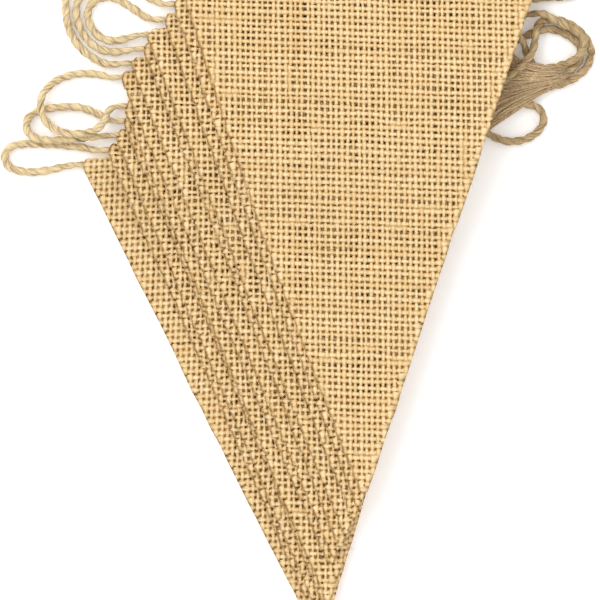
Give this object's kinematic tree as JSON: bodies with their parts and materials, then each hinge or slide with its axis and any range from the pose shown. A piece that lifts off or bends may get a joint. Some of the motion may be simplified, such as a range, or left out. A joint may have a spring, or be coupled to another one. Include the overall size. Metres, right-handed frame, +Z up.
{
  "type": "fabric bunting",
  "caption": "Triangular burlap pennants with turned-over hems, strung on one jute twine and lying folded together in a fanned pile.",
  "frame": {"origin": "bottom centre of the pennants' bounding box, at the level they rest on", "axes": "+Z up through the pile, +Y from the pennants' tips towards their hems, +X to the right across the hems seen from above"},
  "size_m": [0.2239, 0.2752, 0.022],
  "materials": {
    "burlap_pennant_01": "matt open plain-weave burlap, golden tan",
    "burlap_pennant_02": "matt open plain-weave burlap, golden tan",
    "burlap_pennant_03": "matt open plain-weave burlap, golden tan",
    "burlap_pennant_04": "matt open plain-weave burlap, golden tan",
    "burlap_pennant_05": "matt open plain-weave burlap, golden tan",
    "burlap_pennant_06": "matt open plain-weave burlap, golden tan",
    "burlap_pennant_07": "matt open plain-weave burlap, golden tan",
    "burlap_pennant_08": "matt open plain-weave burlap, golden tan",
    "burlap_pennant_09": "matt open plain-weave burlap, golden tan",
    "burlap_pennant_10": "matt open plain-weave burlap, golden tan",
    "burlap_pennant_11": "matt open plain-weave burlap, golden tan",
    "burlap_pennant_12": "matt open plain-weave burlap, golden tan",
    "jute_twine": "matt two-ply jute twine, pale straw brown"
  },
  "bodies": {
    "root": {"pennant_01": "burlap_pennant_01", "pennant_02": "burlap_pennant_02", "pennant_03": "burlap_pennant_03", "pennant_04": "burlap_pennant_04", "pennant_05": "burlap_pennant_05", "pennant_06": "burlap_pennant_06", "pennant_07": "burlap_pennant_07", "pennant_08": "burlap_pennant_08", "pennant_09": "burlap_pennant_09", "pennant_10": "burlap_pennant_10", "pennant_11": "burlap_pennant_11", "pennant_12": "burlap_pennant_12", "twine": "jute_twine"}
  },
  "joints": []
}
